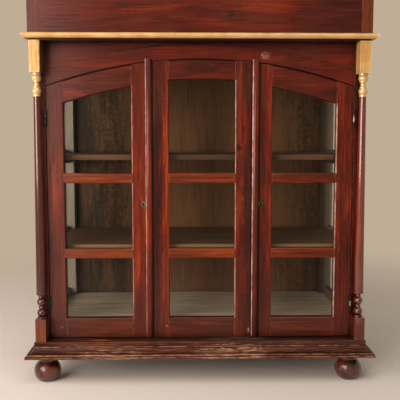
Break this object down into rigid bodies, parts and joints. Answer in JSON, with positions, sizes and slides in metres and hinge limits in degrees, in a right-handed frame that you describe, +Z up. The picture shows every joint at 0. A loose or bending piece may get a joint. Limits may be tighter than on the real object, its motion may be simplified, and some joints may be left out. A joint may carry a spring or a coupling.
{
  "type": "display cabinet",
  "caption": "Free-standing display cabinet with an arched glazed front, hinged doors beside a fixed panel, glazed sides, shelves, corner columns, gilt cornice and bun feet.",
  "frame": {"origin": "on the ground under the middle of the cabinet", "axes": "+X to the viewer's right, +Y from the doors to the back, +Z up"},
  "size_m": [1.084, 0.542, 1.195],
  "materials": {
    "frame_mahogany": "glossy red varnish",
    "column_mahogany": "glossy dark red varnish",
    "plinth_mahogany": "worn varnish with bare wood at the edges",
    "foot_wood": "glossy dark brown varnish",
    "gilt_wood": "satin gilt paint",
    "interior_wood": "matt brown stain",
    "pane_glass": "clear",
    "hinge_steel": "dull",
    "lock_metal": "tarnished"
  },
  "bodies": {
    "carcass": {"arch_rail": "frame_mahogany", "back_boards": "interior_wood", "base_corner_blocks": "plinth_mahogany", "base_deck": "plinth_mahogany", "base_rails": "plinth_mahogany", "bun_feet": "foot_wood", "carcass_top_board": "frame_mahogany", "centre_panel_glass": "pane_glass", "centre_panel_glazing_beads": "frame_mahogany", "centre_panel_rails": "frame_mahogany", "centre_panel_stiles": "frame_mahogany", "centre_panel_top_rail": "frame_mahogany", "cornice_front_moulding": "gilt_wood", "cornice_side_mouldings": "gilt_wood", "floor_bearers": "interior_wood", "floor_board": "interior_wood", "frame_hinge_leaves": "hinge_steel", "frieze_board": "frame_mahogany", "front_posts": "frame_mahogany", "hinge_pins": "hinge_steel", "left_capital": "gilt_wood", "left_column": "column_mahogany", "lower_shelf": "interior_wood", "parapet_front_board": "frame_mahogany", "parapet_lid": "frame_mahogany", "parapet_returns": "frame_mahogany", "parapet_stiles": "frame_mahogany", "plinth_front_moulding": "plinth_mahogany", "plinth_side_mouldings": "plinth_mahogany", "rear_posts": "frame_mahogany", "right_capital": "gilt_wood", "right_column": "column_mahogany", "shelf_battens": "interior_wood", "side_glass": "pane_glass", "side_rails": "frame_mahogany", "strike_plates": "lock_metal", "upper_shelf": "interior_wood"},
    "left_door": {"left_door_glass": "pane_glass", "left_door_glazing_beads": "frame_mahogany", "left_door_hinge_leaves": "hinge_steel", "left_door_hinge_stile": "frame_mahogany", "left_door_lock_stile": "frame_mahogany", "left_door_rails": "frame_mahogany", "left_door_strip": "frame_mahogany", "left_door_top_rail": "frame_mahogany", "left_escutcheon": "lock_metal", "left_lock_case": "lock_metal"},
    "right_door": {"right_door_glass": "pane_glass", "right_door_glazing_beads": "frame_mahogany", "right_door_hinge_leaves": "hinge_steel", "right_door_hinge_stile": "frame_mahogany", "right_door_lock_stile": "frame_mahogany", "right_door_rails": "frame_mahogany", "right_door_strip": "frame_mahogany", "right_door_top_rail": "frame_mahogany", "right_escutcheon": "lock_metal", "right_lock_case": "lock_metal"},
    "left_lock_bolt": {"left_lock_bolt": "lock_metal"},
    "right_lock_bolt": {"right_lock_bolt": "lock_metal"}
  },
  "joints": [
    {"name": "left_door_hinge", "type": "hinge", "parent": "carcass", "child": "left_door", "pos_m": [-0.4768, -0.198, 0.531], "axis": [0, 0, -1], "range_deg": [0, 95]},
    {"name": "right_door_hinge", "type": "hinge", "parent": "carcass", "child": "right_door", "pos_m": [0.4768, -0.198, 0.531], "axis": [0, 0, 1], "range_deg": [0, 95]},
    {"name": "left_lock_slide", "type": "slide", "parent": "left_door", "child": "left_lock_bolt", "axis": [1, 0, 0], "range_m": [0, 0.009]},
    {"name": "right_lock_slide", "type": "slide", "parent": "right_door", "child": "right_lock_bolt", "axis": [-1, 0, 0], "range_m": [0, 0.009]}
  ]
}
